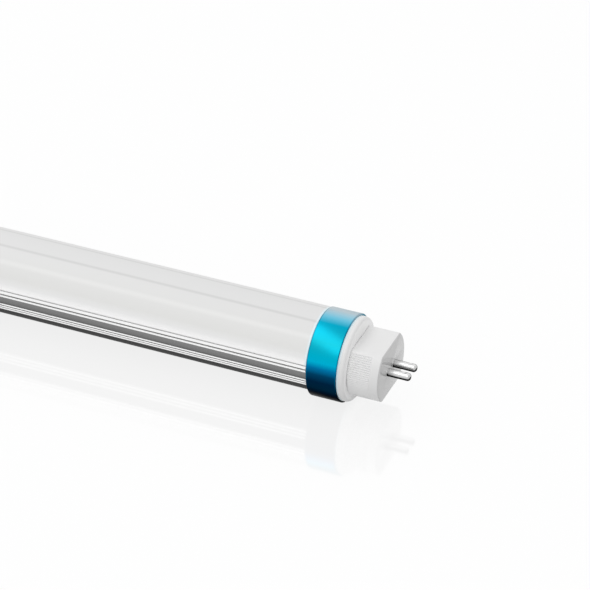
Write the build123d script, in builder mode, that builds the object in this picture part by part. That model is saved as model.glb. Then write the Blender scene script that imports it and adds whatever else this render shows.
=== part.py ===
"""A straight LED tube with a narrow two-pin base at each end, in millimetres.

The tube lies along X, with its middle at the origin. The frosted diffuser is up (+Z) and the
aluminium heat sink is down. The driver sits in the heat sink at the right end (+X), which is
the end with the supply. Each end has a ring, a collar screwed to the heat sink and a pin base
that turns in the collar. The left end is the right end seen in a mirror.
"""

from build123d import *
from math import asin, cos, degrees, radians, sin, sqrt, tan
import os

os.makedirs("parts", exist_ok=True)

# The whole lamp
base_to_base = 549.0
tube_radius = 12.8

# Contact pins
pin_spacing = 4.75
pin_radius = 1.185
pin_length = 6.8
pin_tip_round = 0.9
pin_tail_width = 1.4
pin_tail_length = 2.6
pin_fit = 0.02
pin_mark_length = 1.6
pin_mark_width = 0.8
pin_mark_depth = 0.16
pin_mark_setback = 2.1

# Pin base, which turns in the collar
nose_length = 9.5
nose_radius = 10.2
nose_height = 15.3
nose_corner_round = 0.9
nose_edge_chamfer = 0.25
nose_wall = 1.6
nose_face_thickness = 2.4
nose_gap = 0.08
grip_pitch_angle = 3.6
grip_groove_depth = 0.28
grip_plain_front = 3.0
hub_radius = 4.7
hub_wall = 1.0
hub_clearance = 0.08
bead_height = 0.6
bead_length = 1.2
bead_gap = 0.2
finger_slot = 0.8

# Stop that keeps the pin base within a quarter turn each way
turn_limit_angle = 90.0
stop_half_angle = 8.0
stop_length = 0.8
stop_thickness = 1.2
stop_track_gap = 0.2
stop_play_angle = 1.0

# Collar
collar_lip = 2.2
collar_edge_round = 1.3
collar_web = 4.0
barrel_wall = 1.3
spigot_length = 8.0
spigot_wall = 1.2
spigot_gap = 0.2

# Ring
ring_width = 9.1
ring_wall = 0.5
ring_stand = 0.2
ring_edge_chamfer = 0.12
ring_fit = 0.05
end_gap = 0.1

# Screws from the collar into the heat sink
screw_radius = 1.1
screw_length = 16.0
screw_head_radius = 2.0
screw_head_height = 1.6
screw_head_depth = 1.2
screw_clearance = 0.12
screw_cover = 0.5
thread_clearance = 0.03
post_wall = 0.8

# Heat sink
shell_step = 1.1
shell_wall = 1.2
rail_bottom = 0.6
seam_height = 2.5
lip_wall = 0.85
lip_groove_height = 1.4
lip_groove_width = 0.4
lip_groove_depth = 0.35
deck_top = 1.4
deck_thickness = 1.2
rib_count = 3
rib_middle_angle = 18.1
rib_pitch_angle = 4.7
rib_width = 0.55
rib_height = 0.35
port_wall = 0.9
port_merge = 0.25

# Inner lips, which hold the board on one side and the diffuser's hooks on the other
inner_lip_wall = 1.0
inner_lip_head = 0.7
board_overhang = 0.5
hook_overhang = 0.6

# Diffuser
cover_wall = 1.1
seam_gap = 0.15
slot_gap = 0.15
tongue_wall = 0.7
hook_depth = 0.8
hook_play = 0.4
foot_height = 1.2

# Board with the light emitting packages
led_board_thickness = 1.0
led_board_play = 0.1
led_board_setback = 1.0
led_length = 3.5
led_width = 2.8
led_height = 0.8
led_pitch = 10.4
led_end_margin = 8.0

# Driver board and its tray
driver_length = 120.0
driver_board_width = 10.6
driver_board_thickness = 1.2
driver_board_rise = 2.4
driver_setback = 2.5
driver_headroom = 0.8
tray_gap = 0.2
tray_wall = 0.9
tray_floor = 0.6
tray_side_height = 2.0
tray_end = 1.5
tray_board_gap = 0.1

# Parts on the driver board, each with its length along the tube
lead_room = 5.5
lying_gap = 0.1
block_edge_chamfer = 0.2
film_capacitor_length = 10.0
film_capacitor_width = 5.0
bridge_length = 4.7
bridge_width = 3.9
bridge_height = 2.5
chip_length = 4.9
chip_width = 3.9
chip_height = 1.5
diode_length = 4.3
diode_width = 2.6
diode_height = 2.2
can_length = 12.0
fuse_length = 10.0
fuse_radius = 1.5
fuse_waist = 0.15
fuse_cap_length = 2.4
fuse_across = -3.2
varistor_thickness = 3.0
varistor_across = 2.2
varistor_edge_chamfer = 0.6
choke_radius = 3.2
choke_sides = 8
choke_winding_radius = 2.7
choke_flange = 1.0
core_length = 10.2
core_width = 9.6
core_rise = 1.1
core_limb = 1.5
middle_leg = 2.6
winding_gap = 0.15
winding_wall = 1.1

# Wires, six-sided in section, and the sides of the other small rounds that nothing shows
lead_radius = 0.6
lead_sides = 6
hidden_sides = 12
output_lead_spacing = 7.6
lead_overlap = 4.0
lead_drop = 6.5
lead_bend_setback = 5.5
led_lead_length = 6.0

# Strap that joins the two left pins
link_thickness = 0.4
link_width = 1.6
link_end = 0.8

# Stations along X at the right end
face_x = base_to_base / 2
nose_back_x = face_x - nose_length
collar_face_x = nose_back_x - nose_gap
ring_outer_x = collar_face_x - collar_lip
ring_inner_x = ring_outer_x - ring_width
tube_end_x = ring_inner_x - end_gap
web_back_x = collar_face_x - collar_web
bead_front_x = web_back_x - bead_gap
hub_end_x = bead_front_x - bead_length
tail_end_x = face_x - nose_face_thickness - pin_tail_length
spigot_end_x = ring_inner_x - spigot_length
head_seat_x = collar_face_x - screw_head_depth - screw_head_height
driver_end_x = spigot_end_x - driver_setback

# Radii and heights that follow
ring_radius = tube_radius + ring_stand
ring_bore = ring_radius - ring_wall
collar_radius = ring_bore - ring_fit
shell_radius = tube_radius - shell_step
chamber_radius = shell_radius - shell_wall
deck_bottom = deck_top - deck_thickness
lip_bore = tube_radius - lip_wall
tongue_radius = lip_bore - slot_gap
tongue_bore = tongue_radius - tongue_wall
hook_bore = tongue_bore - hook_depth
led_board_top = deck_top + led_board_thickness
lip_head_bottom = led_board_top + led_board_play
lip_head_top = lip_head_bottom + inner_lip_head
inner_lip_outer = hook_bore - hook_play
inner_lip_inner = inner_lip_outer - inner_lip_wall
led_board_width = 2 * (inner_lip_inner - led_board_play)
led_board_length = 2 * (tube_end_x - led_board_setback)
cover_bottom = seam_height + seam_gap
foot_top = cover_bottom + foot_height
hook_bottom = deck_top + slot_gap
hook_top = lip_head_bottom - slot_gap
hub_bore = hub_radius - hub_wall
web_bore = hub_radius + hub_clearance
stop_outer = nose_height / 2 - stop_track_gap
stop_inner = stop_outer - stop_thickness
port_bore = screw_radius + thread_clearance
port_radius = port_bore + port_wall
port_z = deck_bottom - port_radius + port_merge
screw_circle = nose_radius - screw_head_radius - screw_cover
port_y = sqrt(screw_circle**2 - port_z**2)
screw_points = [(port_y, port_z), (-port_y, port_z)]
post_width = 2 * (screw_radius + screw_clearance + post_wall)
driver_board_bottom = driver_board_rise - chamber_radius
driver_board_top = driver_board_bottom + driver_board_thickness
tall_height = deck_bottom - driver_board_top - driver_headroom
can_radius = (tall_height - lying_gap) / 2
core_height = tall_height - 2 * core_rise
tray_radius = chamber_radius - tray_gap
pin_points = [(pin_spacing / 2, 0), (-pin_spacing / 2, 0)]


def write(sub_part, name):
    """Label a finished piece and write it as a file of its own."""
    sub_part.part.label = name
    export_step(sub_part.part, f"parts/{name}.step")


def band(outer, inner, low, high):
    """Part of a flat ring about the tube's axis, between two heights."""
    with BuildSketch(Plane.XY, mode=Mode.PRIVATE) as ring_part:
        Circle(outer)
        if inner > 0:
            Circle(inner, mode=Mode.SUBTRACT)
        with Locations((0, (low + high) / 2)):
            Rectangle(2 * outer, high - low, mode=Mode.INTERSECT)
    return ring_part.sketch


def sector(outer, inner, middle_angle, half_angle):
    """Part of a flat ring about the tube's axis, between two angles."""
    with BuildSketch(Plane.XY, mode=Mode.PRIVATE) as ring_part:
        with BuildLine():
            start = middle_angle - half_angle
            end = middle_angle + half_angle
            outside = CenterArc((0, 0), outer, start, end - start)
            inside = CenterArc((0, 0), inner, start, end - start)
            Line(outside @ 0, inside @ 0)
            Line(outside @ 1, inside @ 1)
        make_face()
    return ring_part.sketch


def cut_round(sub_part, round_radius):
    """Round the circular edge at the far end in X by three flat cuts laid round the arc."""
    wide_cut = round_radius * (1 - tan(radians(45 / 2)))
    narrow_cut = round_radius * (tan(radians(45 / 2)) - tan(radians(45 / 4)))
    tip_edge = sub_part.edges().filter_by(GeomType.CIRCLE).sort_by(Axis.X)[-1]
    chamfer(tip_edge, wide_cut)
    cut_edges = sub_part.edges().filter_by(GeomType.CIRCLE).sort_by(Axis.X)[-2:]
    chamfer(cut_edges, narrow_cut)


def nose_outline(inset, corner_round):
    """Round section with a flat above and below, drawn smaller by the inset."""
    with BuildSketch(Plane.XY, mode=Mode.PRIVATE) as outline:
        Circle(nose_radius - inset)
        Rectangle(2 * nose_radius, nose_height - 2 * inset, mode=Mode.INTERSECT)
        fillet(outline.vertices(), corner_round)
    return outline.sketch


# Heat sink: shell, deck, side rails, inner lips, ribs and screw channels in one extrusion
with BuildPart() as heat_sink:
    with BuildSketch(Plane.YZ.offset(-tube_end_x)):
        add(band(shell_radius, chamber_radius, -shell_radius, deck_top))
        add(band(shell_radius, 0, deck_bottom, deck_top))
        add(band(tube_radius, chamber_radius, rail_bottom, deck_top))
        add(band(tube_radius, lip_bore, deck_top, seam_height))
        for side in (1, -1):
            lip_middle = side * (inner_lip_inner + inner_lip_outer) / 2
            head_inner = inner_lip_inner - board_overhang
            head_outer = inner_lip_outer + hook_overhang
            with Locations((lip_middle, (deck_top + lip_head_top) / 2)):
                Rectangle(inner_lip_wall, lip_head_top - deck_top)
            with Locations((side * (head_inner + head_outer) / 2, lip_head_bottom + inner_lip_head / 2)):
                Rectangle(head_outer - head_inner, inner_lip_head)
            with Locations((side * tube_radius, lip_groove_height)):
                Rectangle(2 * lip_groove_depth, lip_groove_width, mode=Mode.SUBTRACT)
        rib_span = rib_pitch_angle * (rib_count - 1)
        for rib_start in (180 + rib_middle_angle - rib_span / 2, -rib_middle_angle - rib_span / 2):
            with PolarLocations(shell_radius, rib_count, rib_start, rib_span, endpoint=True):
                Rectangle(2 * rib_height, rib_width)
        with Locations(*screw_points):
            Circle(port_radius)
            Circle(port_bore, mode=Mode.SUBTRACT)
    extrude(amount=2 * tube_end_x)
write(heat_sink, "heat_sink")

# Diffuser: a thin arched cover with a foot and an inward hook along each edge
with BuildPart() as diffuser:
    with BuildSketch(Plane.YZ.offset(-tube_end_x)):
        add(band(tube_radius, tube_radius - cover_wall, cover_bottom, tube_radius))
        add(band(tube_radius, tongue_bore, cover_bottom, foot_top))
        add(band(tongue_radius, tongue_bore, hook_bottom, foot_top))
        add(band(tongue_radius, hook_bore, hook_bottom, hook_top))
    extrude(amount=2 * tube_end_x)
write(diffuser, "diffuser")

# Board with its row of light emitting packages
with BuildPart() as led_board:
    with BuildSketch(Plane.XY.offset(deck_top)):
        Rectangle(led_board_length, led_board_width)
    extrude(amount=led_board_thickness)
write(led_board, "led_board")

led_count = int((led_board_length - 2 * led_end_margin) / led_pitch) + 1
with BuildPart() as leds:
    with BuildSketch(Plane.XY.offset(led_board_top)):
        with GridLocations(led_pitch, 0, led_count, 1):
            Rectangle(led_length, led_width)
    extrude(amount=led_height)
write(leds, "leds")

# Driver tray: it fills the foot of the chamber and carries the driver board between its walls
driver_middle_x = driver_end_x - driver_length / 2
tray_length = driver_length + 2 * tray_end
tray_bore_width = driver_board_width + 2 * tray_board_gap
with BuildPart() as driver_tray:
    with BuildSketch(Plane.YZ.offset(driver_middle_x - tray_length / 2)):
        tray_top = driver_board_top + tray_side_height
        add(band(tray_radius, 0, -tray_radius, tray_top))
        Rectangle(tray_bore_width + 2 * tray_wall, 2 * tray_radius, mode=Mode.INTERSECT)
        with Locations((0, driver_board_bottom)):
            Rectangle(tray_bore_width, chamber_radius, align=(Align.CENTER, Align.MIN), mode=Mode.SUBTRACT)
        hollow_top = driver_board_bottom - tray_floor
        add(band(tray_radius - tray_wall, 0, -tray_radius, hollow_top), mode=Mode.SUBTRACT)
    extrude(amount=tray_length)
write(driver_tray, "driver_tray")

with BuildPart() as driver_board:
    with BuildSketch(Plane.XY.offset(driver_board_bottom)):
        with Locations((driver_middle_x, 0)):
            Rectangle(driver_length, driver_board_width)
    extrude(amount=driver_board_thickness)
write(driver_board, "driver_board")

# Places of the driver's parts, from the supply end inwards, with the same gap before each
part_lengths = {
    "fuse": fuse_length,
    "film_capacitor": film_capacitor_length,
    "filter_choke": 2 * choke_radius,
    "bridge_rectifier": bridge_length,
    "input_capacitor": can_length,
    "controller_chip": chip_length,
    "transformer": core_length,
    "output_diode": diode_length,
    "output_capacitor": can_length,
}
free_length = driver_length - lead_room - sum(part_lengths.values())
part_gap = free_length / (len(part_lengths) + 1)
part_middle = {}
station = driver_end_x - lead_room
for part_name, length in part_lengths.items():
    station -= part_gap
    part_middle[part_name] = station - length / 2
    station -= length

# Parts with a block shape: length along the tube, width and height
block_parts = {
    "film_capacitor": (film_capacitor_length, film_capacitor_width, tall_height),
    "bridge_rectifier": (bridge_length, bridge_width, bridge_height),
    "controller_chip": (chip_length, chip_width, chip_height),
    "output_diode": (diode_length, diode_width, diode_height),
}
for part_name, (length, width, height) in block_parts.items():
    with BuildPart() as block:
        with BuildSketch(Plane.XY.offset(driver_board_top)):
            with Locations((part_middle[part_name], 0)):
                Rectangle(length, width)
        extrude(amount=height)
        chamfer(block.faces().sort_by(Axis.Z)[-1].edges(), block_edge_chamfer)
    write(block, part_name)

# Capacitor cans, which lie along the board
for part_name in ("input_capacitor", "output_capacitor"):
    with BuildPart() as can:
        with BuildSketch(Plane.YZ.offset(part_middle[part_name] - can_length / 2)):
            with Locations((0, driver_board_top + can_radius + lying_gap)):
                Circle(can_radius)
        extrude(amount=can_length)
    write(can, part_name)

# Fuse: a glass barrel with an end cap at each end, on its side
with BuildPart() as fuse:
    fuse_start_x = part_middle["fuse"] - fuse_length / 2
    fuse_axis = (fuse_across, driver_board_top + fuse_radius + lying_gap)
    with BuildSketch(Plane.YZ.offset(fuse_start_x)):
        with Locations(fuse_axis):
            RegularPolygon(fuse_radius - fuse_waist, hidden_sides)
    extrude(amount=fuse_length)
    for cap_x in (fuse_start_x, fuse_start_x + fuse_length - fuse_cap_length):
        with BuildSketch(Plane.YZ.offset(cap_x)):
            with Locations(fuse_axis):
                RegularPolygon(fuse_radius, hidden_sides)
        extrude(amount=fuse_cap_length)
write(fuse, "fuse")

# Varistor: a disc that stands across the board beside the fuse
with BuildPart() as varistor:
    with BuildSketch(Plane.YZ.offset(part_middle["fuse"] - varistor_thickness / 2)):
        with Locations((varistor_across, driver_board_top + can_radius + lying_gap)):
            RegularPolygon(can_radius, 2 * hidden_sides)
    extrude(amount=varistor_thickness)
    disc_faces = varistor.faces().sort_by(Axis.X)
    chamfer(disc_faces[0].edges() + disc_faces[-1].edges(), varistor_edge_chamfer)
write(varistor, "varistor")

# Filter choke: a winding on an upright core with eight-sided ends
with BuildPart() as filter_choke:
    with BuildSketch(Plane.XY.offset(driver_board_top)):
        with Locations((part_middle["filter_choke"], 0)):
            Circle(choke_winding_radius)
    extrude(amount=tall_height)
    for flange_z in (driver_board_top, driver_board_top + tall_height - choke_flange):
        with BuildSketch(Plane.XY.offset(flange_z)):
            with Locations((part_middle["filter_choke"], 0)):
                RegularPolygon(choke_radius, choke_sides)
        extrude(amount=choke_flange)
write(filter_choke, "filter_choke")

# Transformer: a core with a window on each side of its middle leg, and the winding round it
window_length = core_length - 2 * core_limb
window_width = (core_width - 2 * core_limb - middle_leg) / 2
with BuildPart() as transformer_core:
    with BuildSketch(Plane.XY.offset(driver_board_top + core_rise)):
        with Locations((part_middle["transformer"], 0)):
            Rectangle(core_length, core_width)
            with GridLocations(0, middle_leg + window_width, 1, 2):
                Rectangle(window_length, window_width, mode=Mode.SUBTRACT)
    extrude(amount=core_height)
write(transformer_core, "transformer_core")

with BuildPart() as transformer_winding:
    winding_length = window_length - 2 * winding_gap
    winding_middle_z = driver_board_top + core_rise + core_height / 2
    winding_opening_width = middle_leg + 2 * winding_gap
    winding_opening_height = core_height + 2 * winding_gap
    winding_width = winding_opening_width + 2 * winding_wall
    winding_height = 2 * (core_rise + core_height / 2 - lying_gap)
    with BuildSketch(Plane.YZ.offset(part_middle["transformer"] - winding_length / 2)):
        with Locations((0, winding_middle_z)):
            Rectangle(winding_width, winding_height)
            Rectangle(winding_opening_width, winding_opening_height, mode=Mode.SUBTRACT)
    extrude(amount=winding_length)
write(transformer_winding, "transformer_winding")

# Wires, as straight runs joined by tangent arcs in upright planes
lead_board_z = driver_board_top + lead_radius + lying_gap
lead_board_x = driver_end_x - lead_overlap
led_lead_z = led_board_top + lead_radius + lying_gap
loop_x = (hub_end_x + tube_end_x) / 2


def corner_radii(points):
    """Largest even bend at each inner point: 0.45 of its shorter run over the half turn."""
    radii = []
    for before, here, after in zip(points, points[1:], points[2:]):
        arriving = Vector(*here) - Vector(*before)
        leaving = Vector(*after) - Vector(*here)
        shorter = min(arriving.length, leaving.length)
        half_turn = radians(arriving.get_angle(leaving) / 2)
        radii.append(0.45 * shorter * cos(half_turn) / sin(half_turn))
    return radii


def run_wire(points, across, name):
    """Sweep a wire along a route in the upright plane at one place across the tube."""
    route = [(x, across, z) for x, z in points]
    radii = corner_radii(route)
    print(name, "bends", [round(radius, 2) for radius in radii])
    with BuildPart() as wire:
        with BuildLine() as path:
            FilletPolyline(*route, radius=radii)
        start = path.line @ 0
        with BuildSketch(Plane(origin=start, z_dir=path.line % 0)):
            RegularPolygon(lead_radius, lead_sides)
        sweep()
    write(wire, name)


input_route = [
    (tail_end_x, 0.0),
    (web_back_x - lead_bend_setback, 0.0),
    (web_back_x - lead_bend_setback - lead_drop, lead_board_z),
    (lead_board_x, lead_board_z),
]
output_route = [
    (tube_end_x - led_lead_length, led_lead_z),
    (loop_x, led_lead_z),
    (loop_x, lead_board_z),
    (lead_board_x, lead_board_z),
]
for side, side_name in ((-1, "front"), (1, "back")):
    run_wire(input_route, side * pin_spacing / 2, f"{side_name}_input_lead")
    run_wire(output_route, side * output_lead_spacing / 2, f"{side_name}_output_lead")

# Two equal rings, each over the joint of a collar and the tube
with BuildPart() as end_rings:
    with BuildSketch(Plane.YZ.offset(ring_inner_x)):
        Circle(ring_radius)
        Circle(ring_bore, mode=Mode.SUBTRACT)
    extrude(amount=ring_width)
    outer_edges = end_rings.edges().filter_by(GeomType.CIRCLE).group_by(SortBy.RADIUS)[-1]
    chamfer(outer_edges, ring_edge_chamfer)
    mirror(about=Plane.YZ)
write(end_rings, "end_rings")

# Two equal collars: barrel under the ring, web, posts for the screws and two spigots into the tube
with BuildPart() as collars:
    with BuildSketch(Plane.YZ.offset(ring_inner_x)):
        Circle(collar_radius)
    extrude(amount=collar_face_x - ring_inner_x)
    cut_round(collars, collar_edge_round)
    with BuildSketch(Plane.YZ.offset(ring_inner_x)):
        Circle(collar_radius - barrel_wall)
    extrude(amount=web_back_x - ring_inner_x, mode=Mode.SUBTRACT)
    with BuildSketch(Plane.YZ.offset(spigot_end_x)):
        upper_radius = tube_radius - cover_wall - spigot_gap
        upper_bottom = foot_top + spigot_gap
        lower_radius = chamber_radius - spigot_gap
        lower_top = port_z - port_radius - spigot_gap
        add(band(upper_radius, upper_radius - spigot_wall, upper_bottom, upper_radius))
        add(band(lower_radius, lower_radius - spigot_wall, -lower_radius, lower_top))
    extrude(amount=web_back_x - spigot_end_x)
    with BuildSketch(Plane.YZ.offset(ring_inner_x)):
        with Locations(*screw_points):
            Rectangle(post_width, post_width)
    extrude(amount=web_back_x - ring_inner_x)
    with BuildSketch(Plane.YZ.offset(web_back_x)):
        Circle(web_bore)
    extrude(amount=collar_web, mode=Mode.SUBTRACT)
    with BuildSketch(Plane.YZ.offset(ring_inner_x)):
        with Locations(*screw_points):
            RegularPolygon(screw_radius + screw_clearance, hidden_sides, major_radius=False)
    extrude(amount=collar_face_x - ring_inner_x, mode=Mode.SUBTRACT)
    with BuildSketch(Plane.YZ.offset(head_seat_x)):
        with Locations(*screw_points):
            RegularPolygon(screw_head_radius + screw_clearance, hidden_sides, major_radius=False)
    extrude(amount=collar_face_x - head_seat_x, mode=Mode.SUBTRACT)
    track_depth = stop_length - nose_gap + stop_track_gap
    with BuildSketch(Plane.YZ.offset(collar_face_x - track_depth)):
        track_outer = stop_outer + stop_track_gap
        track_inner = stop_inner - stop_track_gap
        track_half_angle = turn_limit_angle + stop_half_angle + stop_play_angle
        add(sector(track_outer, track_inner, -90, track_half_angle))
    extrude(amount=track_depth, mode=Mode.SUBTRACT)
    mirror(about=Plane.YZ)
write(collars, "collars")

# Screws, two at each end: one piece of hardware made four times
with BuildPart() as collar_screws:
    with BuildSketch(Plane.YZ.offset(head_seat_x)):
        with Locations(*screw_points):
            RegularPolygon(screw_head_radius, hidden_sides)
    extrude(amount=screw_head_height)
    with BuildSketch(Plane.YZ.offset(head_seat_x - screw_length)):
        with Locations(*screw_points):
            RegularPolygon(screw_radius, hidden_sides)
    extrude(amount=screw_length)
    mirror(about=Plane.YZ)
write(collar_screws, "collar_screws")

# Pin base: an outer shell with two flats, a hub with snap fingers and fine grip grooves
with BuildPart() as right_nose:
    with BuildSketch(Plane.YZ.offset(nose_back_x)):
        add(nose_outline(0, nose_corner_round))
    extrude(amount=nose_length)
    chamfer(right_nose.faces().sort_by(Axis.X)[-1].edges(), nose_edge_chamfer)
    with BuildSketch(Plane.YZ.offset(nose_back_x)):
        add(nose_outline(nose_wall, nose_corner_round))
    extrude(amount=nose_length - nose_face_thickness, mode=Mode.SUBTRACT)
    with BuildSketch(Plane.YZ.offset(hub_end_x)):
        Circle(hub_radius)
    extrude(amount=face_x - nose_face_thickness - hub_end_x)
    with BuildSketch(Plane.YZ.offset(hub_end_x)):
        Circle(hub_radius + bead_height)
    extrude(amount=bead_length)
    bead_edge = right_nose.edges().group_by(Axis.X)[0]
    chamfer(bead_edge, bead_height)
    with BuildSketch(Plane.YZ.offset(hub_end_x)):
        Circle(hub_bore)
    extrude(amount=face_x - nose_face_thickness - hub_end_x, mode=Mode.SUBTRACT)
    with BuildSketch(Plane.YZ.offset(hub_end_x)):
        Rectangle(finger_slot, 3 * hub_radius)
        Rectangle(3 * hub_radius, finger_slot)
    extrude(amount=nose_back_x - nose_gap - hub_end_x, mode=Mode.SUBTRACT)
    with BuildSketch(Plane.YZ.offset(face_x - nose_face_thickness)):
        with Locations(*pin_points):
            Rectangle(pin_tail_width + 2 * pin_fit, pin_tail_width + 2 * pin_fit)
    extrude(amount=nose_face_thickness, mode=Mode.SUBTRACT)
    with BuildSketch(Plane.YZ.offset(nose_back_x - stop_length)):
        add(sector(stop_outer, stop_inner, -90, stop_half_angle))
    extrude(amount=stop_length)
    grip_length = nose_length - grip_plain_front
    round_half_angle = degrees(asin(nose_height / 2 / nose_radius))
    groove_count = 2 * int((round_half_angle - grip_pitch_angle) / grip_pitch_angle) + 1
    groove_span = grip_pitch_angle * (groove_count - 1)
    with BuildSketch(Plane.YZ.offset(nose_back_x)):
        for side_angle in (0, 180):
            start_angle = side_angle - groove_span / 2
            with PolarLocations(nose_radius, groove_count, start_angle, groove_span, endpoint=True):
                Rectangle(sqrt(2) * grip_groove_depth, sqrt(2) * grip_groove_depth, rotation=45)
    extrude(amount=grip_length, mode=Mode.SUBTRACT)
write(right_nose, "right_nose")

with BuildPart() as left_nose:
    mirror(right_nose.part, about=Plane.YZ)
write(left_nose, "left_nose")

# Contact pins: each has a small staking mark near its tip, and a square tail through the base
for side, side_name in ((-1, "front"), (1, "back")):
    with BuildPart() as right_pin:
        pin_y = side * pin_spacing / 2
        with BuildSketch(Plane.YZ.offset(face_x)):
            with Locations((pin_y, 0)):
                Circle(pin_radius)
        extrude(amount=pin_length)
        cut_round(right_pin, pin_tip_round)
        with BuildSketch(Plane.XY.offset(pin_radius - pin_mark_depth)):
            with Locations((face_x + pin_length - pin_mark_setback, pin_y)):
                Rectangle(pin_mark_length, pin_mark_width)
        extrude(amount=pin_radius, mode=Mode.SUBTRACT)
        with BuildSketch(Plane.YZ.offset(tail_end_x)):
            with Locations((pin_y, 0)):
                Rectangle(pin_tail_width, pin_tail_width)
        extrude(amount=face_x - tail_end_x)
    write(right_pin, f"right_{side_name}_pin")
    with BuildPart() as left_pin:
        mirror(right_pin.part, about=Plane.YZ)
    write(left_pin, f"left_{side_name}_pin")

# Strap that joins the tails of the two left pins
with BuildPart() as left_pin_link:
    with BuildSketch(Plane.YZ.offset(-tail_end_x)):
        Rectangle(pin_spacing + 2 * link_end, link_width)
    extrude(amount=link_thickness)
write(left_pin_link, "left_pin_link")
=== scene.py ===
"""Finishes, finer pieces, studio and camera for a straight LED tube, in metres."""

import logging
from dataclasses import dataclass, field
from enum import Enum
from math import cos, pi, radians, sin

import bmesh
import bpy
from mathutils import Matrix, Vector


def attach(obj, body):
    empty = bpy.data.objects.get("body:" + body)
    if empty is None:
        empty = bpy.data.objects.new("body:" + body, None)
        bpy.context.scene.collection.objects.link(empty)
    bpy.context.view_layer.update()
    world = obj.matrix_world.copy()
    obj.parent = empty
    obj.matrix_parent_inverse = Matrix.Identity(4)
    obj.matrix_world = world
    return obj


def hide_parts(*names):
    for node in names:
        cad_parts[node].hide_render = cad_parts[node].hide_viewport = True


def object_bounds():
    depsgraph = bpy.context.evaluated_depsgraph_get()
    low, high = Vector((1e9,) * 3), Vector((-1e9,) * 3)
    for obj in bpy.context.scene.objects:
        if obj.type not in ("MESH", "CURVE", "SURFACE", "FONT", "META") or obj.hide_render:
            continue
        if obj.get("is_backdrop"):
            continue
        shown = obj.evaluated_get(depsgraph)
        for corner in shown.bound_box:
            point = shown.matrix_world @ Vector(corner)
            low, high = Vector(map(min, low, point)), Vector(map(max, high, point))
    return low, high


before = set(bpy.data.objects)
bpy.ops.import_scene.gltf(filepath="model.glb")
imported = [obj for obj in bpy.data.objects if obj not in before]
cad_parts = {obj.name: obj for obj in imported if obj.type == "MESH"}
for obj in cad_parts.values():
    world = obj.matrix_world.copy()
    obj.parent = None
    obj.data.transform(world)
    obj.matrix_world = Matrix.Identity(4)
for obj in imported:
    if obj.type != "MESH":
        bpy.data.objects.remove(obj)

MM = 0.001
# Corners that lie nearer to each other than this are one corner.
SAME_PLACE = 0.001 * MM
# Faces that turn less than this are one face.
FLAT_TURN = radians(0.4)
# Average of a pattern that goes from 0 to 1.
MIDDLE = 0.5
# The curve from screen colours to linear ones: its straight start, then a power.
SCREEN_START = 0.04045
SCREEN_SLOPE = 12.92
SCREEN_OFFSET = 0.055
SCREEN_POWER = 2.4

Colour = tuple[float, float, float]
Stops = tuple[tuple[float, Colour], ...]
Socket = bpy.types.NodeSocket
Mesh = bmesh.types.BMesh
log = logging.getLogger("led_tube")


def colour(red: int, green: int, blue: int) -> Colour:
    """Turn a screen colour of 0 to 255 into a linear one.

    Args:
        red: Red part.
        green: Green part.
        blue: Blue part.

    Returns:
        The linear colour.
    """
    linear = []
    for part in (red / 255, green / 255, blue / 255):
        raised = ((part + SCREEN_OFFSET) / (1 + SCREEN_OFFSET)) ** SCREEN_POWER
        linear.append(part / SCREEN_SLOPE if part < SCREEN_START else raised)
    return tuple(linear)


def grey(level: int) -> Colour:
    """Turn a screen grey of 0 to 255 into a linear colour."""
    return colour(level, level, level)


def even(level: float) -> Colour:
    """Give a grey by its linear level of 0 to 1."""
    return (level, level, level)


def reach(node: str, axis: str = "x") -> float:
    """Give how far out along an axis a node ends, from the lamp's middle."""
    return max(abs(getattr(vertex.co, axis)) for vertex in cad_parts[node].data.vertices)


def start(node: str) -> float:
    """Give how far out along the tube a node starts, from the lamp's middle."""
    return min(abs(vertex.co.x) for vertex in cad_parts[node].data.vertices)


RING_INNER = start("end_rings")
RING_OUTER = reach("end_rings")
RING_RADIUS = reach("end_rings", "y")
COLLAR_FACE = reach("collars")
BASE_FACE = reach("right_nose")
PIN_TIP = reach("right_front_pin")

# Colour of the painted reflection of the blue ring on the white and frosted pieces beside it.
RING_PAINTED_REFLECTION = colour(224, 244, 250)


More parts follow.
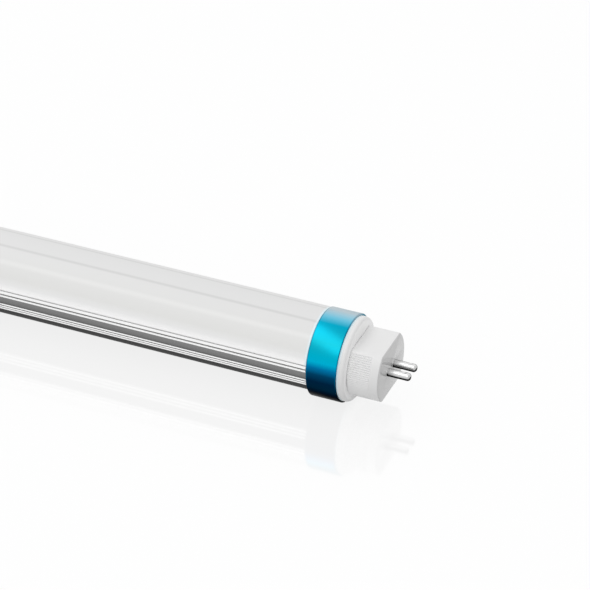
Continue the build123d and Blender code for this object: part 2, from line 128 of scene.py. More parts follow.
class Value:
    """A number socket that takes part in sums."""

    def __init__(self, graph: "Graph", socket: Socket) -> None:
        """Keep the socket and the graph that it stands in."""
        self.graph = graph
        self.socket = socket

    def _math(self, operation: str, first: "Value | float", second: "Value | float" = 0.0) -> "Value":
        """Add one Math node and give its result."""
        node = self.graph.node("ShaderNodeMath", {"operation": operation}, {0: first, 1: second})
        return Value(self.graph, node.outputs[0])

    def __add__(self, other: "Value | float") -> "Value":
        """Sum."""
        return self._math("ADD", self, other)

    def __radd__(self, other: float) -> "Value":
        """Sum with a number in front."""
        return self._math("ADD", other, self)

    def __sub__(self, other: "Value | float") -> "Value":
        """Difference."""
        return self._math("SUBTRACT", self, other)

    def __rsub__(self, other: float) -> "Value":
        """Difference from a number."""
        return self._math("SUBTRACT", other, self)

    def __mul__(self, other: "Value | float") -> "Value":
        """Product."""
        return self._math("MULTIPLY", self, other)

    def __rmul__(self, other: float) -> "Value":
        """Product with a number in front."""
        return self._math("MULTIPLY", other, self)

    def __truediv__(self, other: "Value | float") -> "Value":
        """Quotient."""
        return self._math("DIVIDE", self, other)

    def __rtruediv__(self, other: float) -> "Value":
        """Quotient of a number."""
        return self._math("DIVIDE", other, self)

    def __pow__(self, other: "Value | float") -> "Value":
        """Power."""
        return self._math("POWER", self, other)

    def __rpow__(self, other: float) -> "Value":
        """Power of a number."""
        return self._math("POWER", other, self)

    def __abs__(self) -> "Value":
        """Size without its sign."""
        return self._math("ABSOLUTE", self)

    def fraction(self) -> "Value":
        """Part after the point."""
        return self._math("FRACT", self)

    def sine(self) -> "Value":
        """Sine of an angle in radians."""
        return self._math("SINE", self)

    def over(self, low: float, high: float) -> "Value":
        """Smooth step from 0 at the first number to 1 at the second, which may be the lower one.

        Args:
            low: Number at which the step is 0.
            high: Number at which the step is 1.

        Returns:
            The step.
        """
        settings = {"interpolation_type": "SMOOTHSTEP"}
        sockets = {"Value": self, "From Min": low, "From Max": high, "To Min": 0.0, "To Max": 1.0}
        if high < low:
            sockets.update({"From Min": high, "From Max": low, "To Min": 1.0, "To Max": 0.0})
        return Value(self.graph, self.graph.node("ShaderNodeMapRange", settings, sockets).outputs[0])


class Graph:
    """Nodes of one material or of the world."""

    def __init__(self, tree: bpy.types.NodeTree) -> None:
        """Start from an empty tree."""
        self.tree = tree
        self.tree.nodes.clear()

    def node(
        self,
        kind: str,
        settings: dict[str, object] | None = None,
        sockets: dict[str | int, object] | None = None,
    ) -> bpy.types.Node:
        """Add any node.

        Args:
            kind: The node's type.
            settings: Its settings, and the stops of a ramp, which are set first.
            sockets: Numbers, colours or links for its inputs, by name or number.

        Returns:
            The node.
        """
        made = self.tree.nodes.new(kind)
        for name, setting in (settings or {}).items():
            if name == "stops":
                self._set_stops(made.color_ramp, setting)
            else:
                setattr(made, name, setting)
        for key, value in (sockets or {}).items():
            self._fill(made.inputs[key], value)
        return made

    def _fill(self, socket: Socket, value: object) -> None:
        """Link or set one input.

        Args:
            socket: The input.
            value: A number, a colour or a link.
        """
        if isinstance(value, Value):
            self.tree.links.new(value.socket, socket)
        elif isinstance(value, Socket):
            self.tree.links.new(value, socket)
        elif isinstance(value, tuple) and len(value) == 3 and socket.type == "RGBA":
            socket.default_value = (*value, 1.0)
        else:
            socket.default_value = value

    @staticmethod
    def _set_stops(ramp: bpy.types.ColorRamp, stops: list[tuple[float, Colour]]) -> None:
        """Give a ramp its colours and their places.

        Args:
            ramp: The ramp.
            stops: Each stop's place from 0 to 1 and its colour, in rising order.
        """
        while len(ramp.elements) < len(stops):
            ramp.elements.new(1.0)
        for element, (place, shade) in zip(ramp.elements, stops):
            element.position = place
            element.color = (*shade, 1.0)

    def place(self) -> Socket:
        """Give the place on the object, in metres."""
        return self.node("ShaderNodeTexCoord").outputs["Object"]

    def axes(self) -> tuple[Value, Value, Value]:
        """Give the place along the tube, across it and up."""
        parts = self.node("ShaderNodeSeparateXYZ", {}, {0: self.place()})
        return tuple(Value(self, socket) for socket in parts.outputs)

    def radius(self) -> Value:
        """Give the distance from the tube's axis."""
        _, across, up = self.axes()
        return (across**2.0 + up**2.0) ** 0.5

    def noise(self, scale: tuple[float, float, float], detail: float = 3.0, shift: float = 0.0) -> Value:
        """Add a noise pattern.

        Args:
            scale: Spots per metre along each axis.
            detail: Number of finer layers.
            shift: Shift along each axis that makes one pattern unlike another.

        Returns:
            The pattern, about one half on average.
        """
        sockets = {"Vector": self.place(), "Scale": scale, "Location": (shift, shift, shift)}
        mapped = self.node("ShaderNodeMapping", {}, sockets).outputs[0]
        sockets = {"Vector": mapped, "Scale": 1.0, "Detail": detail}
        return Value(self, self.node("ShaderNodeTexNoise", {}, sockets).outputs[0])

    def ramp(self, value: Value, stops: Stops) -> Socket:
        """Turn a number into a colour by stops at given numbers.

        Args:
            value: The number.
            stops: Each stop's number and colour, in rising order.

        Returns:
            The colour.
        """
        low, high = stops[0][0], stops[-1][0]
        places = [((number - low) / (high - low), shade) for number, shade in stops]
        sockets = {0: (value - low) / (high - low)}
        return self.node("ShaderNodeValToRGB", {"stops": places}, sockets).outputs[0]

    def mix(self, factor: "Value | float", first: object, second: object) -> Socket:
        """Mix two colours.

        Args:
            factor: Share of the second colour.
            first: Colour or link at a share of 0.
            second: Colour or link at a share of 1.

        Returns:
            The mixed colour.
        """
        # The node's colours are inputs 6 and 7 and output 2, because its other kinds share their names.
        settings = {"data_type": "RGBA", "clamp_factor": True}
        return self.node("ShaderNodeMix", settings, {0: factor, 6: first, 7: second}).outputs[2]

    def scaled(self, shade: Socket, level: Value) -> Socket:
        """Make a colour lighter or darker.

        Args:
            shade: The colour.
            level: Number that it is multiplied by.

        Returns:
            The new colour.
        """
        sockets = {0: shade, "Scale": level}
        return self.node("ShaderNodeVectorMath", {"operation": "SCALE"}, sockets).outputs[0]

    def bump(self, height: Value, depth: float) -> Socket:
        """Turn a height into a surface normal.

        Args:
            height: The pattern.
            depth: How deep a height of 1 is, in metres.

        Returns:
            The normal.
        """
        sockets = {"Strength": 1.0, "Distance": depth, "Height": height}
        return self.node("ShaderNodeBump", {}, sockets).outputs[0]


class Grain(Enum):
    """How the fine marks on a surface run, as the share of their scale along X, Y and Z."""

    MOULDED = (1.0, 1.0, 1.0)
    DRAWN = (0.004, 1.0, 1.0)
    TURNED = (1.0, 0.012, 0.012)
    ACROSS = (0.05, 0.05, 1.0)


@dataclass(frozen=True)
class Finish:
    """A surface with a colour, a gloss and fine marks.

    Each number that varies is given as its middle and its spread.
    """

    name: str
    base: Colour = even(0.8)
    spread: float = 0.04
    patch_scale: float = 60.0
    patch_shift: float = 7.3
    roughness: float = 0.4
    roughness_spread: float = 0.08
    metallic: float = 0.0
    coat: float = 0.0
    coat_roughness: float = 0.1
    grain: Grain = Grain.MOULDED
    grain_scale: float = 3000.0
    grain_depth: float = 0.01 * MM
    ior: float = 1.5
    edge_tint: Colour = (1.0, 1.0, 1.0)

    def shade(self, graph: Graph, patches: Value) -> Socket:
        """Give the colour over the surface.

        Args:
            graph: Nodes of the material.
            patches: Broad pattern from 0 to 1.

        Returns:
            The colour.
        """
        low = tuple(part * (1 - self.spread) for part in self.base)
        high = tuple(min(1.0, part * (1 + self.spread)) for part in self.base)
        return graph.mix(patches, low, high)

    def gloss(self, graph: Graph, patches: Value, marks: Value) -> Value:
        """Give the roughness over the surface."""
        return self.roughness + (marks - MIDDLE + patches - MIDDLE) * self.roughness_spread

    def height(self, graph: Graph, marks: Value) -> Value:
        """Give the height of the fine marks."""
        return marks

    def lacquer(self, graph: Graph) -> "Value | float":
        """Give the weight of the clear coat."""
        return self.coat

    def material(self) -> bpy.types.Material:
        """Build the material.

        Returns:
            The material.
        """
        made = bpy.data.materials.new(self.name)
        made.use_nodes = True
        graph = Graph(made.node_tree)
        patches = graph.noise((self.patch_scale,) * 3, shift=self.patch_shift)
        marks = graph.noise(tuple(self.grain_scale * part for part in self.grain.value))
        sockets = {
            "Base Color": self.shade(graph, patches),
            "Roughness": self.gloss(graph, patches, marks),
            "Metallic": self.metallic,
            "IOR": self.ior,
            "Specular Tint": self.edge_tint,
            "Coat Weight": self.lacquer(graph),
            "Coat Roughness": self.coat_roughness,
            "Normal": graph.bump(self.height(graph, marks), self.grain_depth),
        }
        shader = graph.node("ShaderNodeBsdfPrincipled", {}, sockets)
        graph.node("ShaderNodeOutputMaterial", {}, {"Surface": shader.outputs[0]})
        return made


@dataclass(frozen=True)
class RailMetal(Finish):
    """Drawn aluminium with painted light and shade: bright rails, rib tops painted white as highlights,
    and a greyer shell painted darker towards the bottom as shade.
    """

    rib_radius: float = 11.78 * MM
    rib_top_radius: float = 11.98 * MM
    rail_radius: float = 12.3 * MM
    rail_edge: float = 0.1 * MM
    groove_radius: float = 12.74 * MM
    groove_wall: float = 0.05 * MM
    groove_low: float = 1.26 * MM
    groove_high: float = 1.84 * MM
    groove_edge: float = 0.06 * MM
    # Painted shade inside the groove under each rail's lip.
    groove_shade: Colour = grey(116)
    # Painted highlight on the rib tops.
    rib_highlight: Colour = grey(255)
    # Painted shade over the shell by height: darker towards the bottom, with a lighter band partway up.
    shell_shading: Stops = (
        (-13.0 * MM, grey(84)),
        (-5.2 * MM, grey(90)),
        (-5.0 * MM, grey(172)),
        (-4.1 * MM, grey(160)),
        (-3.3 * MM, grey(104)),
        (-2.5 * MM, grey(104)),
        (-2.3 * MM, grey(116)),
        (-1.4 * MM, grey(128)),
        (0.6 * MM, grey(142)),
    )

    def shade(self, graph: Graph, patches: Value) -> Socket:
        """Give the rails their bright metal, the rib tops their painted highlight, the shell its painted
        shade by height, and the groove under each rail's lip its painted shade.

        Args:
            graph: Nodes of the material.
            patches: Broad pattern from 0 to 1.

        Returns:
            The colour.
        """
        radius = graph.radius()
        _, _, up = graph.axes()
        rib_top = radius.over(self.rib_radius, self.rib_top_radius)
        ribbed = graph.mix(rib_top, graph.ramp(up, self.shell_shading), self.rib_highlight)
        outer = radius.over(self.rail_radius - self.rail_edge, self.rail_radius)
        railed = graph.mix(outer, ribbed, super().shade(graph, patches))
        inside = 1 - radius.over(self.groove_radius - self.groove_wall, self.groove_radius)
        above = up.over(self.groove_low - self.groove_edge, self.groove_low)
        below = up.over(self.groove_high + self.groove_edge, self.groove_high)
        return graph.mix(inside * above * below * outer, railed, self.groove_shade)


@dataclass(frozen=True)
class FrostedCover(Finish):
    """Frosted cover with a painted dark line and a painted highlight line on each side, and painted light
    that brightens it towards its feet.
    """

    # A painted dark line runs along each side.
    painted_dark_line: float = 3.7 * MM
    painted_dark_width: float = 0.75 * MM
    painted_dark_share: float = 0.13
    # A painted highlight line runs along each side.
    highlight_line: float = 8.2 * MM
    highlight_width: float = 1.0 * MM
    highlight_share: float = 0.06
    # Painted reflection of the blue ring on the cover's ends beside it.
    painted_reflection_end: float = RING_INNER - 0.12 * MM
    painted_reflection_width: float = 0.9 * MM
    painted_reflection_share: float = 0.8
    # Painted light and shade by height: darker at the very foot where it meets the rails, painted light
    # towards the feet, and evened over the top.
    painted_levels: Stops = (
        (2.5 * MM, even(0.4)),
        (2.72 * MM, even(0.58)),
        (2.95 * MM, even(1.0)),
        (3.3 * MM, even(1.0)),
        (4.7 * MM, even(0.83)),
        (6.5 * MM, (0.745, 0.745, 0.735)),
        (10.5 * MM, (0.7, 0.7, 0.695)),
        (13.0 * MM, even(0.705)),
    )

    def shade(self, graph: Graph, patches: Value) -> Socket:
        """Give the painted light and shade by height, the painted dark and highlight lines and the painted
        reflection of the ring beside it.

        Args:
            graph: Nodes of the material.
            patches: Broad pattern from 0 to 1.

        Returns:
            The colour.
        """
        along, across, up = graph.axes()
        side = abs(across)
        dark = abs(side - self.painted_dark_line).over(self.painted_dark_width, 0.0) * self.painted_dark_share
        bright = abs(side - self.highlight_line).over(self.highlight_width, 0.0) * self.highlight_share
        level = 1 - dark + bright + (patches - MIDDLE) * self.spread
        body = graph.scaled(graph.ramp(up, self.painted_levels), level)
        # Painted reflection of the blue ring beside the cover.
        beside = abs(along).over(self.painted_reflection_end - self.painted_reflection_width, self.painted_reflection_end) * self.painted_reflection_share
        return graph.mix(beside, body, RING_PAINTED_REFLECTION)


@dataclass(frozen=True)
class RingBlue(Finish):
    """Anodised blue with painted light and shade: a painted pale sheen along the crown, and cyan flanks
    painted darker to navy below.

    The crown's colours go by the place across the tube, the flanks' by the height.
    """

    # Painted highlight along the inner edge, and painted shade lines beside both edges.
    pale: Colour = colour(208, 236, 244)
    rim_highlight_share: float = 0.3
    rim_highlight_width: float = 0.06 * MM
    rim_highlight_fade: float = 0.08 * MM
    dark: Colour = colour(2, 110, 146)
    painted_dark_share: float = 0.5
    dark_inner_width: float = 0.25 * MM
    dark_outer_width: float = 0.15 * MM
    dark_fade: float = 0.15 * MM
    lines_from: float = -5.0 * MM
    lines_full: float = 2.0 * MM
    crown_height: float = 9.5 * MM
    crown_blend: float = 0.3 * MM
    coat_rise: float = 3.0 * MM
    coat_from: float = -3.2 * MM
    coat_full: float = 1.5 * MM
    # Painted sheen and highlight across the crown, by the place across the tube.
    crown: Stops = (
        (-9.0 * MM, colour(20, 166, 184)),
        (-3.6 * MM, colour(8, 172, 204)),
        (-1.0 * MM, colour(112, 204, 232)),
        (3.8 * MM, colour(200, 222, 232)),
        (6.0 * MM, colour(160, 204, 222)),
        (9.0 * MM, colour(20, 166, 184)),
    )
    # Painted shade down the flanks: the cyan darkens to navy below.
    flank_shading: Stops = (
        (-13.0 * MM, colour(0, 4, 9)),
        (-7.0 * MM, colour(0, 10, 20)),
        (-4.0 * MM, colour(0, 34, 54)),
        (-1.5 * MM, colour(0, 31, 58)),
        (1.0 * MM, colour(0, 61, 96)),
        (3.0 * MM, colour(0, 114, 165)),
        (4.7 * MM, colour(0, 178, 215)),
        (6.2 * MM, colour(0, 177, 207)),
        (9.5 * MM, colour(20, 166, 184)),
    )

    def shade(self, graph: Graph, patches: Value) -> Socket:
        """Give crown and flanks their painted light and shade, with a fine painted highlight and painted
        shade line beside the edges.

        Args:
            graph: Nodes of the material.
            patches: Broad pattern from 0 to 1; not used.

        Returns:
            The colour.
        """
        along, across, up = graph.axes()
        top = up.over(self.crown_height - self.crown_blend, self.crown_height + self.crown_blend)
        body = graph.mix(top, graph.ramp(up, self.flank_shading), graph.ramp(across, self.crown))
        shown = up.over(self.lines_from, self.lines_full)
        from_inner = abs(along) - RING_INNER
        from_outer = RING_OUTER - abs(along)
        inner = from_inner.over(self.dark_inner_width + self.dark_fade, self.dark_inner_width)
        outer = from_outer.over(self.dark_outer_width + self.dark_fade, self.dark_outer_width)
        rim_highlight = from_inner.over(self.rim_highlight_width + self.rim_highlight_fade, self.rim_highlight_width)
        # Painted shade lines beside both edges, then the painted highlight along the inner edge.
        lined = graph.mix(inner * shown * self.painted_dark_share, body, self.dark)
        lined = graph.mix(outer * shown * self.painted_dark_share, lined, self.dark)
        return graph.mix(rim_highlight * shown * self.rim_highlight_share, lined, self.pale)

    def lacquer(self, graph: Graph) -> "Value | float":
        """Give the weight of the clear coat, which the crown alone carries.

        Args:
            graph: Nodes of the material.

        Returns:
            The weight.
        """
        _, across, up = graph.axes()
        high = up.over(self.crown_height, self.crown_height + self.coat_rise)
        return high * across.over(self.coat_from, self.coat_full) * self.coat


@dataclass(frozen=True)
class CapWhite(Finish):
    """Moulded white with painted light on the front face and a painted reflection of the ring beside it.
    """

    # Painted light that lifts the front face.
    face_painted_shading: float = 1.2
    face_from: float = 0.25 * MM
    face_full: float = 0.02 * MM
    painted_reflection_from: float = 0.1 * MM
    painted_reflection_to: float = 0.75 * MM

    def shade(self, graph: Graph, patches: Value) -> Socket:
        """Give the white, the painted reflection of the ring beside it and the painted light on the front
        face.

        Args:
            graph: Nodes of the material.
            patches: Broad pattern from 0 to 1.

        Returns:
            The colour.
        """
        along, _, _ = graph.axes()
        out = abs(along)
        face = out.over(COLLAR_FACE - self.face_from, COLLAR_FACE - self.face_full)
        # Painted reflection of the blue ring beside the collar.
        beside = out.over(RING_OUTER + self.painted_reflection_to, RING_OUTER + self.painted_reflection_from)
        body = graph.mix(beside, super().shade(graph, patches), RING_PAINTED_REFLECTION)
        return graph.scaled(body, 1 + face * (self.face_painted_shading - 1))


@dataclass(frozen=True)
class BaseWhite(Finish):
    """Moulded white with a polished end face, painted shade on the end face, and painted light in the grip
    grooves and on the root.
    """

    face_start: float = BASE_FACE - 0.3 * MM
    face_edge: float = 0.1 * MM
    face_roughness: float = 0.12
    # Painted shade that darkens the end face.
    face_painted_shading: float = 0.77
    round_radius: float = 10.2 * MM
    groove_depth: float = 0.12 * MM
    # Painted light that lifts the grip grooves.
    groove_painted_light: float = 1.05
    flat_height: float = 7.3 * MM
    flat_edge: float = 0.5 * MM
    back_start: float = COLLAR_FACE + 0.08 * MM
    back_length: float = 1.6 * MM
    # Painted light on the root beside the collar.
    root_painted_light: float = 1.08

    def end_face(self, graph: Graph) -> Value:
        """Give 1 on the end face and 0 elsewhere."""
        along, _, _ = graph.axes()
        return abs(along).over(self.face_start - self.face_edge, self.face_start)

    def shade(self, graph: Graph, patches: Value) -> Socket:
        """Give the painted shade on the end face, and the painted light in the grip grooves and on the
        root beside the collar.

        Args:
            graph: Nodes of the material.
            patches: Broad pattern from 0 to 1.

        Returns:
            The colour.
        """
        face = self.end_face(graph)
        along, _, up = graph.axes()
        deep = graph.radius().over(self.round_radius, self.round_radius - self.groove_depth)
        grooved = deep * abs(up).over(self.flat_height, self.flat_height - self.flat_edge) * (1 - face)
        back = abs(along).over(self.back_start + self.back_length, self.back_start)
        level = 1 + face * (self.face_painted_shading - 1) + grooved * (self.groove_painted_light - 1)
        level = level + back * (self.root_painted_light - 1)
        return graph.scaled(super().shade(graph, patches), level)

    def gloss(self, graph: Graph, patches: Value, marks: Value) -> Value:
        """Give the roughness over the surface."""
        face = self.end_face(graph)
        return super().gloss(graph, patches, marks) * (1 - face) + face * self.face_roughness


@dataclass(frozen=True)
class PinMetal(Finish):
    """Bright plated metal with painted light and shade: a painted highlight along the top, a dark streak
    low on each side, a dark tip edge and a dark root shadow.
    """

    root_length: float = 0.55 * MM
    root_fade: float = 0.25 * MM
    root_height: float = -0.4 * MM
    root_reach: float = 0.5 * MM
    root_reach_fade: float = 0.35 * MM
    tip_from: float = 0.22 * MM
    tip_full: float = 0.11 * MM
    tip_height: float = 0.5 * MM
    tip_height_fade: float = 0.3 * MM
    # Colour of the painted shade at the tip edge and the painted shadow at the root.
    dark: Colour = colour(16, 16, 17)
    # Painted light and shade by height: a painted highlight along the top and a painted dark streak low on
    # each side.
    sides_shading: Stops = (
        (-1.2 * MM, grey(206)),
        (-0.93 * MM, grey(190)),
        (-0.78 * MM, colour(10, 10, 11)),
        (-0.2 * MM, colour(12, 12, 13)),
        (-0.04 * MM, colour(70, 70, 72)),
        (0.12 * MM, grey(176)),
        (0.4 * MM, grey(214)),
        (1.2 * MM, grey(240)),
    )

    def shade(self, graph: Graph, patches: Value) -> Socket:
        """Give the painted light and shade by height, with the painted dark tip edge and the painted
        shadow at the root.

        Args:
            graph: Nodes of the material.
            patches: Broad pattern from 0 to 1; not used.

        Returns:
            The colour.
        """
        along, _, up = graph.axes()
        from_face = abs(along) - BASE_FACE
        tip = (PIN_TIP - abs(along)).over(self.tip_from, self.tip_full)
        tip = tip * abs(up).over(self.tip_height, self.tip_height - self.tip_height_fade)
        # Painted shadow at the root, against the end face.
        root = from_face.over(self.root_length, self.root_length - self.root_fade)
        off_middle = abs(up - self.root_height)
        root = root * off_middle.over(self.root_reach + self.root_reach_fade, self.root_reach)
        return graph.mix(1 - (1 - tip) * (1 - root), graph.ramp(up, self.sides_shading), self.dark)


@dataclass(frozen=True)
class LightPackage(Finish):
    """White package with a phosphor window on top."""

    window: Colour = colour(244, 206, 72)
    pitch: float = 10.4 * MM
    window_length: float = 2.6 * MM
    window_width: float = 2.0 * MM
    window_edge: float = 0.06 * MM
    top: float = reach("leds", "z") - 0.1 * MM

    def shade(self, graph: Graph, patches: Value) -> Socket:
        """Give the white body and the window in the middle of each pitch.

        Args:
            graph: Nodes of the material.
            patches: Broad pattern from 0 to 1.

        Returns:
            The colour.
        """
        along, across, up = graph.axes()
        off = abs((along / self.pitch).fraction() - MIDDLE) * self.pitch
        half_length, half_width = self.window_length / 2, self.window_width / 2
        inside = off.over(half_length + self.window_edge, half_length)
        inside = inside * abs(across).over(half_width + self.window_edge, half_width)
        inside = inside * up.over(self.top - self.window_edge, self.top)
        return graph.mix(inside, super().shade(graph, patches), self.window)


@dataclass(frozen=True)
class BoardPrint(Finish):
    """Circuit board with its copper tracks under the lacquer."""

    track: Colour = colour(60, 120, 70)
    track_share: float = 0.8
    track_scale: tuple[float, float, float] = (420.0, 168.0, 1.0)
    track_shift: float = 3.1
    track_edge: float = 0.03
    track_half: float = 0.02

    def shade(self, graph: Graph, patches: Value) -> Socket:
        """Give the board's colour and the lines of its tracks.

        Args:
            graph: Nodes of the material.
            patches: Broad pattern from 0 to 1.

        Returns:
            The colour.
        """
        tracks = graph.noise(self.track_scale, 0.0, self.track_shift)
        lines = abs(tracks - MIDDLE).over(self.track_edge, self.track_half)
        return graph.mix(lines * self.track_share, super().shade(graph, patches), self.track)


@dataclass(frozen=True)
class Wound(Finish):
    """Wire laid turn by turn, under tape or enamel."""

    turns: float = 2600.0
    turn_height: float = 0.5
    mark_height: float = 0.2

    def height(self, graph: Graph, marks: Value) -> Value:
        """Give the height of the turns."""
        along, _, _ = graph.axes()
        return (along * (self.turns * 2 * pi)).sine() * self.turn_height + marks * self.mark_height


class Finishes:
    """All the finishes of the lamp, by the name of the record's slot."""

    def __init__(self) -> None:
        """Build each material once."""
        finishes = [
            RailMetal(
                "heat_sink_metal", grey(250), spread=0.01, roughness=0.36, roughness_spread=0.14,
                metallic=0.7, edge_tint=grey(90), grain=Grain.DRAWN, grain_scale=9000.0,
                grain_depth=0.008 * MM,
            ),
            FrostedCover(
                "frosted_cover", spread=0.008, roughness=0.42, patch_scale=25.0,
                grain=Grain.DRAWN, grain_scale=2200.0, grain_depth=0.004 * MM,
            ),
            Finish("white_board", colour(236, 236, 232), roughness=0.45, grain_depth=0.004 * MM),
            LightPackage("led_package", colour(240, 238, 230), spread=0.03, patch_scale=300.0),
            Finish("tray_plastic", colour(226, 226, 222), roughness=0.5, grain_depth=0.02 * MM),
            BoardPrint("green_board", colour(28, 92, 52), roughness=0.35, coat=0.3),
            Finish(
                "fuse_glass", colour(196, 206, 204), spread=0.1, roughness=0.12, coat=0.5,
                patch_scale=200.0,
            ),
            Finish(
                "blue_coating", colour(28, 86, 160), roughness=0.38, grain_scale=1500.0,
                grain_depth=0.03 * MM,
            ),
            Finish("yellow_case", colour(226, 180, 40), roughness=0.42, grain_depth=0.015 * MM),
            Finish("ferrite", colour(58, 56, 56), spread=0.15, roughness=0.62, patch_scale=900.0),
            Finish("black_case", colour(30, 30, 32), roughness=0.55, grain_depth=0.015 * MM),
            Finish("can_sleeve", colour(26, 34, 66), roughness=0.3, coat=0.2, grain_depth=0.006 * MM),
            Wound("winding_tape", colour(222, 186, 70), roughness=0.35, grain_depth=0.04 * MM),
            Finish("wire_insulation", colour(196, 40, 36), roughness=0.42, grain_depth=0.006 * MM),
            RingBlue(
                "blue_ring", roughness=0.3, roughness_spread=0.1, metallic=1.0, edge_tint=grey(182),
                coat=1.0, grain=Grain.TURNED, grain_scale=7000.0, grain_depth=0.006 * MM,
            ),
            CapWhite(
                "white_cap", grey(228), spread=0.01, roughness=0.34, grain_scale=2600.0,
                grain_depth=0.006 * MM,
            ),
            BaseWhite(
                "white_base", grey(226), spread=0.01, roughness=0.36, grain_scale=2600.0,
                grain_depth=0.006 * MM,
            ),
            Finish("screw_steel", colour(176, 178, 182), roughness=0.28, metallic=1.0, grain=Grain.TURNED),
            PinMetal(
                "pin_metal", roughness=0.22, metallic=1.0, edge_tint=grey(60),
                grain=Grain.DRAWN, grain_scale=12000.0, grain_depth=0.003 * MM,
            ),
            Finish("link_brass", colour(214, 176, 92), roughness=0.3, metallic=1.0, grain=Grain.ACROSS),
        ]
        self.made = {finish.name: finish.material() for finish in finishes}

    def of(self, slot: str) -> bpy.types.Material:
        """Give the material of one slot."""
        return self.made[slot]


class Maker:
    """The bench that every sub-assembly uses: it shapes, names and dresses pieces."""

    def __init__(self, finishes: Finishes) -> None:
        """Keep the finishes."""
        self.finishes = finishes

    def dress(self, node: str, slot: str) -> None:
        """Give a carried-over node its material.

        Args:
            node: The node.
            slot: The slot of its material.
        """
        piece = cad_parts[node]
        piece.data.materials.clear()
        piece.data.materials.append(self.finishes.of(slot))
        log.info("dressed %s in %s", node, slot)

    def add(self, name: str, mesh: Mesh, slot: str, body: str, *nodes: str) -> None:
        """Finish a new piece.

        Args:
            name: The piece's name.
            mesh: Its shape, in its place.
            slot: The slot of its material.
            body: The body that it rides on.
            nodes: The nodes that it stands for.
        """
        data = bpy.data.meshes.new(name)
        mesh.to_mesh(data)
        mesh.free()
        # A copied node brings its own normals, which no longer fit once its edges are rounded.
        normals = data.attributes.get("custom_normal")
        if normals is not None:
            data.attributes.remove(normals)
        data.materials.append(self.finishes.of(slot))
        piece = bpy.data.objects.new(name, data)
        bpy.context.scene.collection.objects.link(piece)
        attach(piece, body)
        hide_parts(*nodes)
        log.info("made %s with %d faces", name, len(data.polygons))

    @staticmethod
    def smooth(mesh: Mesh, sharp_angle: float = 32.0) -> None:
        """Shade smooth, apart from edges that turn more than an angle.

        Args:
            mesh: The shape.
            sharp_angle: The angle, in degrees.
        """
        for face in mesh.faces:
            face.smooth = True
        for edge in mesh.edges:
            if edge.is_manifold:
                edge.smooth = edge.calc_face_angle() < radians(sharp_angle)

    @staticmethod
    def round_off(mesh: Mesh, edges: list[bmesh.types.BMEdge], width: float, steps: int = 2) -> None:
        """Round some edges of a shape.

        Args:
            mesh: The shape.
            edges: The edges.
            width: Width of the round, in metres.
            steps: Faces across the round.
        """
        bmesh.ops.bevel(
            mesh, geom=edges, offset=width, offset_type="OFFSET", segments=steps, profile=0.5,
            affect="EDGES", clamp_overlap=True, material=-1,
        )

    def softened(
        self,
        node: str,
        edge_round: float,
        least_length: float = 0.0,
        from_x: float = 0.0,
        least_turn: float = 38.0,
    ) -> Mesh:
        """Copy a node's shape and round its sharp edges.

        Args:
            node: The node.
            edge_round: Width of the round, in metres.
            least_length: Edges shorter than this stay sharp.
            from_x: Edges nearer to the lamp's middle than this stay sharp.
            least_turn: Edges that turn less than this, in degrees, stay as they are.

        Returns:
            The rounded shape.
        """
        mesh = bmesh.new()
        mesh.from_mesh(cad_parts[node].data)
        bmesh.ops.remove_doubles(mesh, verts=mesh.verts, dist=SAME_PLACE)
        bmesh.ops.dissolve_limit(mesh, angle_limit=FLAT_TURN, verts=mesh.verts, edges=mesh.edges)
        edges = [
            edge
            for edge in mesh.edges
            if edge.is_manifold and edge.calc_face_angle() > radians(least_turn)
            and edge.calc_length() >= least_length and all(abs(vert.co.x) >= from_x for vert in edge.verts)
        ]
        self.round_off(mesh, edges, edge_round)
        self.smooth(mesh)
        return mesh


@dataclass
class TubeBody:
    """The drawn heat sink and the frosted cover over it."""

    maker: Maker
    metal_round: float = 0.1 * MM
    cover_round: float = 0.08 * MM
    long_edge: float = 100.0 * MM

    def build(self) -> None:
        """Make both pieces, with only their long edges rounded."""
        metal = self.maker.softened("heat_sink", self.metal_round, self.long_edge)
        self.maker.add("heat_sink_drawn", metal, "heat_sink_metal", "tube", "heat_sink")
        cover = self.maker.softened("diffuser", self.cover_round, self.long_edge)
        self.maker.add("cover_frosted", cover, "frosted_cover", "tube", "diffuser")


@dataclass
class LightRow:
    """The board inside with its light emitting packages."""

    maker: Maker

    def build(self) -> None:
        """Dress both nodes."""
        self.maker.dress("led_board", "white_board")
        self.maker.dress("leds", "led_package")


@dataclass
class Driver:
    """The driver board in its tray, with its parts and wires, by the slot that dresses them."""

    maker: Maker
    slots: dict[str, tuple[str, ...]] = field(
        default_factory=lambda: {
            "tray_plastic": ("driver_tray",),
            "green_board": ("driver_board",),
            "fuse_glass": ("fuse",),
            "blue_coating": ("varistor",),
            "yellow_case": ("film_capacitor",),
            "ferrite": ("filter_choke", "transformer_core"),
            "black_case": ("bridge_rectifier", "controller_chip", "output_diode"),
            "can_sleeve": ("input_capacitor", "output_capacitor"),
            "winding_tape": ("transformer_winding",),
            "wire_insulation": (
                "front_input_lead", "back_input_lead", "front_output_lead", "back_output_lead",
            ),
        }
    )

    def build(self) -> None:
        """Dress every node of the driver."""
        for slot, nodes in self.slots.items():
            for node in nodes:
                self.maker.dress(node, slot)


